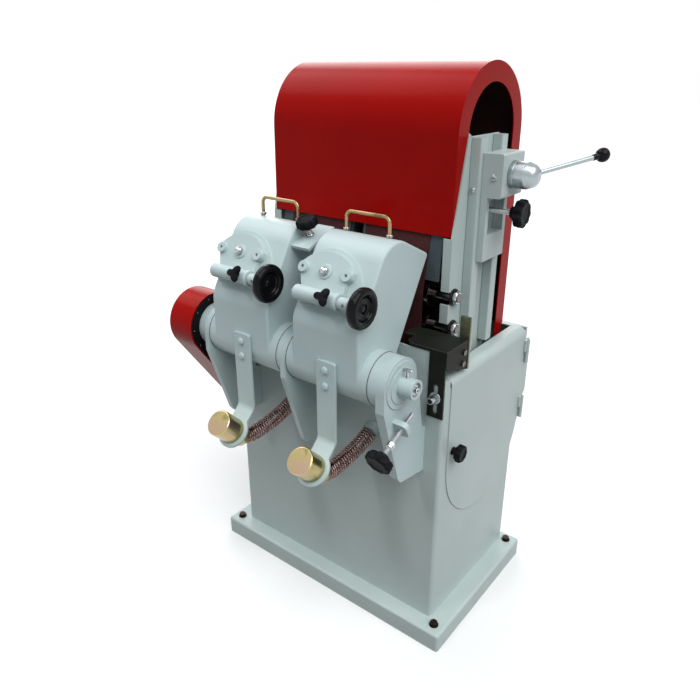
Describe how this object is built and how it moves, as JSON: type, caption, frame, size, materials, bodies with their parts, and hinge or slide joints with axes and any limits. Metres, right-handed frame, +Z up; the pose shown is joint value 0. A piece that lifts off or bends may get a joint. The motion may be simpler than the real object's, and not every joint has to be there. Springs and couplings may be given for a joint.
{
  "type": "round stock sander",
  "caption": "Floor-standing belt sander that feeds round wooden stock sideways between sprung feed heads and upright sanding belts under an arched hood.",
  "frame": {"origin": "middle of the base on the floor", "axes": "+X along the feed direction, to the right seen from the front; +Y to the back; +Z up"},
  "size_m": [0.949, 0.811, 1.5],
  "materials": {
    "pale_grey_paint": "smooth satin enamel",
    "red_paint": "gloss enamel",
    "black_paint": "satin enamel",
    "dark_grey_paint": "satin enamel",
    "yellow_zinc": "yellow passivated zinc plate",
    "copper_spring": "bronze-toned spring wire",
    "bright_steel": "turned and ground",
    "polished_steel": "polished",
    "dark_steel": "blackened",
    "black_plastic": "moulded",
    "graphite_sheet": "graphite faced",
    "cast_rubber": "cast tyre",
    "belt_rubber": "woven belt",
    "abrasive_cloth": "coated abrasive",
    "roller_aluminium": "turned"
  },
  "bodies": {
    "frame": {"base_tray": "pale_grey_paint", "floor_bolts": "dark_steel", "cabinet": "pale_grey_paint", "inner_frame": "dark_grey_paint", "side_columns": "pale_grey_paint", "belt_platens": "graphite_sheet", "hood": "red_paint", "contact_axles": "dark_steel", "frame_fasteners": "yellow_zinc", "bracket_right": "pale_grey_paint", "bracket_left": "pale_grey_paint", "bracket_middle": "pale_grey_paint", "guard_cover": "red_paint", "guard_back_plate": "black_paint", "feed_motor": "dark_grey_paint", "feed_drive_belt": "belt_rubber", "sander_motor": "dark_grey_paint", "main_drive_belt": "belt_rubber", "sanding_belt_right": "abrasive_cloth", "sanding_belt_left": "abrasive_cloth", "spring_right": "copper_spring", "spring_left": "copper_spring"},
    "feed_motor_pulley": {"feed_motor_pulley": "bright_steel"},
    "feed_shaft": {"feed_shaft": "bright_steel"},
    "motor_pulley": {"motor_pulley": "bright_steel"},
    "drive_drums": {"drive_drums": "roller_aluminium"},
    "contact_rollers_upper": {"contact_rollers_upper": "cast_rubber"},
    "contact_rollers_lower": {"contact_rollers_lower": "cast_rubber"},
    "tension_slide_right": {"tension_slide_right": "pale_grey_paint"},
    "tension_slide_left": {"tension_slide_left": "pale_grey_paint"},
    "upper_roller_right": {"upper_roller_right": "roller_aluminium"},
    "upper_roller_left": {"upper_roller_left": "roller_aluminium"},
    "tension_lever": {"tension_lever": "polished_steel"},
    "tracking_knob": {"tracking_knob": "black_plastic"},
    "door": {"door": "pale_grey_paint"},
    "door_knob": {"door_knob": "black_plastic"},
    "adjuster": {"adjuster": "black_plastic"},
    "stop_knob": {"stop_knob": "black_plastic"},
    "work_rest": {"work_rest": "black_paint", "rest_guide": "bright_steel"},
    "head_right": {"head_casing_right": "pale_grey_paint", "angle_plate_right": "pale_grey_paint", "bow_handle_right": "yellow_zinc", "spring_arm_right": "pale_grey_paint", "spring_cup_right": "yellow_zinc", "head_belt_right": "belt_rubber"},
    "handwheel_right": {"handwheel_right": "black_plastic"},
    "lock_knob_right": {"lock_knob_right": "black_plastic"},
    "feed_yoke_right": {"feed_yoke_right": "bright_steel"},
    "feed_wheel_right": {"feed_wheel_right": "cast_rubber"},
    "head_left": {"head_casing_left": "pale_grey_paint", "angle_plate_left": "pale_grey_paint", "bow_handle_left": "yellow_zinc", "spring_arm_left": "pale_grey_paint", "spring_cup_left": "yellow_zinc", "head_belt_left": "belt_rubber"},
    "handwheel_left": {"handwheel_left": "black_plastic"},
    "lock_knob_left": {"lock_knob_left": "black_plastic"},
    "feed_yoke_left": {"feed_yoke_left": "bright_steel"},
    "feed_wheel_left": {"feed_wheel_left": "cast_rubber"}
  },
  "joints": [
    {"name": "head_swing_right", "type": "hinge", "parent": "frame", "child": "head_right", "pos_m": [0.141, -0.324, 0.817], "axis": [1, 0, 0], "range_deg": [0, 20], "stiffness_Nm_per_rad": 60, "springref_deg": -11.46, "deforming": ["spring_right"]},
    {"name": "feed_angle_right", "type": "hinge", "parent": "head_right", "child": "feed_yoke_right", "pos_m": [0.111, -0.33, 1.04392], "axis": [0, -0.866, 0.5], "range_deg": [-10, 10], "deforming": ["head_belt_right"]},
    {"name": "feed_wheel_spin_right", "type": "hinge", "parent": "feed_yoke_right", "child": "feed_wheel_right", "pos_m": [0.111, -0.20443, 0.97142], "axis": [1, 0, 0], "continuous": true},
    {"name": "handwheel_turn_right", "type": "hinge", "parent": "head_right", "child": "handwheel_right", "pos_m": [0.2535, -0.38785, 1.00573], "axis": [1, 0, 0], "range_deg": [-120, 120]},
    {"name": "lock_turn_right", "type": "hinge", "parent": "head_right", "child": "lock_knob_right", "pos_m": [0.158, -0.38785, 1.00573], "axis": [0, -0.866, 0.5], "range_deg": [-90, 90]},
    {"name": "head_swing_left", "type": "hinge", "parent": "frame", "child": "head_left", "pos_m": [-0.141, -0.324, 0.817], "axis": [1, 0, 0], "range_deg": [0, 20], "stiffness_Nm_per_rad": 60, "springref_deg": -11.46, "deforming": ["spring_left"]},
    {"name": "feed_angle_left", "type": "hinge", "parent": "head_left", "child": "feed_yoke_left", "pos_m": [-0.171, -0.33, 1.04392], "axis": [0, -0.866, 0.5], "range_deg": [-10, 10], "deforming": ["head_belt_left"]},
    {"name": "feed_wheel_spin_left", "type": "hinge", "parent": "feed_yoke_left", "child": "feed_wheel_left", "pos_m": [-0.171, -0.20443, 0.97142], "axis": [1, 0, 0], "continuous": true},
    {"name": "handwheel_turn_left", "type": "hinge", "parent": "head_left", "child": "handwheel_left", "pos_m": [-0.0285, -0.38785, 1.00573], "axis": [1, 0, 0], "range_deg": [-120, 120]},
    {"name": "lock_turn_left", "type": "hinge", "parent": "head_left", "child": "lock_knob_left", "pos_m": [-0.124, -0.38785, 1.00573], "axis": [0, -0.866, 0.5], "range_deg": [-90, 90]},
    {"name": "stop_turn", "type": "hinge", "parent": "head_left", "child": "stop_knob", "pos_m": [-0.019, -0.24367, 1.08996], "axis": [0, -0.342, 0.9397], "range_deg": [-180, 180]},
    {"name": "feed_shaft_spin", "type": "hinge", "parent": "frame", "child": "feed_shaft", "pos_m": [0, -0.324, 0.817], "axis": [1, 0, 0], "continuous": true},
    {"name": "feed_motor_spin", "type": "hinge", "parent": "frame", "child": "feed_motor_pulley", "pos_m": [-0.386, -0.15, 0.52], "axis": [1, 0, 0], "continuous": true},
    {"name": "drum_spin", "type": "hinge", "parent": "frame", "child": "drive_drums", "pos_m": [0, 0.028, 0.528], "axis": [1, 0, 0], "continuous": true},
    {"name": "motor_spin", "type": "hinge", "parent": "frame", "child": "motor_pulley", "pos_m": [0, 0.02, 0.175], "axis": [1, 0, 0], "continuous": true},
    {"name": "upper_contact_spin", "type": "hinge", "parent": "frame", "child": "contact_rollers_upper", "pos_m": [0.129, -0.07, 0.955], "axis": [1, 0, 0], "continuous": true},
    {"name": "lower_contact_spin", "type": "hinge", "parent": "frame", "child": "contact_rollers_lower", "pos_m": [0.129, -0.07, 0.872], "axis": [1, 0, 0], "continuous": true},
    {"name": "tension_right", "type": "slide", "parent": "frame", "child": "tension_slide_right", "axis": [0, 0, 1], "range_m": [-0.02, 0], "stiffness_N_per_m": 20000, "springref_m": 0.02},
    {"name": "tension_left", "type": "slide", "parent": "frame", "child": "tension_slide_left", "axis": [0, 0, 1], "range_m": [-0.02, 0], "stiffness_N_per_m": 20000, "springref_m": 0.02},
    {"name": "upper_roller_spin_right", "type": "hinge", "parent": "tension_slide_right", "child": "upper_roller_right", "pos_m": [0.129, 0.038, 1.25], "axis": [1, 0, 0], "continuous": true},
    {"name": "upper_roller_spin_left", "type": "hinge", "parent": "tension_slide_left", "child": "upper_roller_left", "pos_m": [-0.129, 0.038, 1.25], "axis": [1, 0, 0], "continuous": true},
    {"name": "lever_turn", "type": "hinge", "parent": "tension_slide_right", "child": "tension_lever", "pos_m": [0.372, 0.038, 1.25], "axis": [1, 0, 0], "range_deg": [-75, 0]},
    {"name": "tracking_turn", "type": "hinge", "parent": "tension_slide_right", "child": "tracking_knob", "pos_m": [0.39, 0.038, 1.16], "axis": [1, 0, 0], "range_deg": [-180, 180]},
    {"name": "door_swing", "type": "hinge", "parent": "frame", "child": "door", "pos_m": [0.3695, 0.257, 0.6], "axis": [0, 0, 1], "range_deg": [0, 110]},
    {"name": "door_latch", "type": "hinge", "parent": "door", "child": "door_knob", "pos_m": [0.364, -0.15, 0.576], "axis": [1, 0, 0], "range_deg": [0, 90]},
    {"name": "rest_height", "type": "slide", "parent": "frame", "child": "work_rest", "axis": [0, 0, 1], "range_m": [-0.002, 0.028]},
    {"name": "adjuster_turn", "type": "hinge", "parent": "frame", "child": "adjuster", "pos_m": [0.332, -0.34, 0.718], "axis": [0, -0.8988, -0.4384], "range_deg": [-180, 180]}
  ],
  "couplings": [
    {"joint": "feed_wheel_spin_right", "follows": "feed_shaft_spin", "ratio": 1.2857},
    {"joint": "handwheel_turn_right", "follows": "feed_angle_right", "ratio": 12},
    {"joint": "upper_roller_spin_right", "follows": "drum_spin", "ratio": 1.3889},
    {"joint": "feed_wheel_spin_left", "follows": "feed_shaft_spin", "ratio": 1.2857},
    {"joint": "handwheel_turn_left", "follows": "feed_angle_left", "ratio": 12},
    {"joint": "upper_roller_spin_left", "follows": "drum_spin", "ratio": 1.3889},
    {"joint": "feed_motor_spin", "follows": "feed_shaft_spin", "ratio": 1.5},
    {"joint": "motor_spin", "follows": "drum_spin", "ratio": 1.4},
    {"joint": "upper_contact_spin", "follows": "drum_spin", "ratio": 3.2895},
    {"joint": "lower_contact_spin", "follows": "drum_spin", "ratio": 3.2895},
    {"joint": "tension_right", "follows": "lever_turn", "m_per_rad": 0.0152}
  ]
}
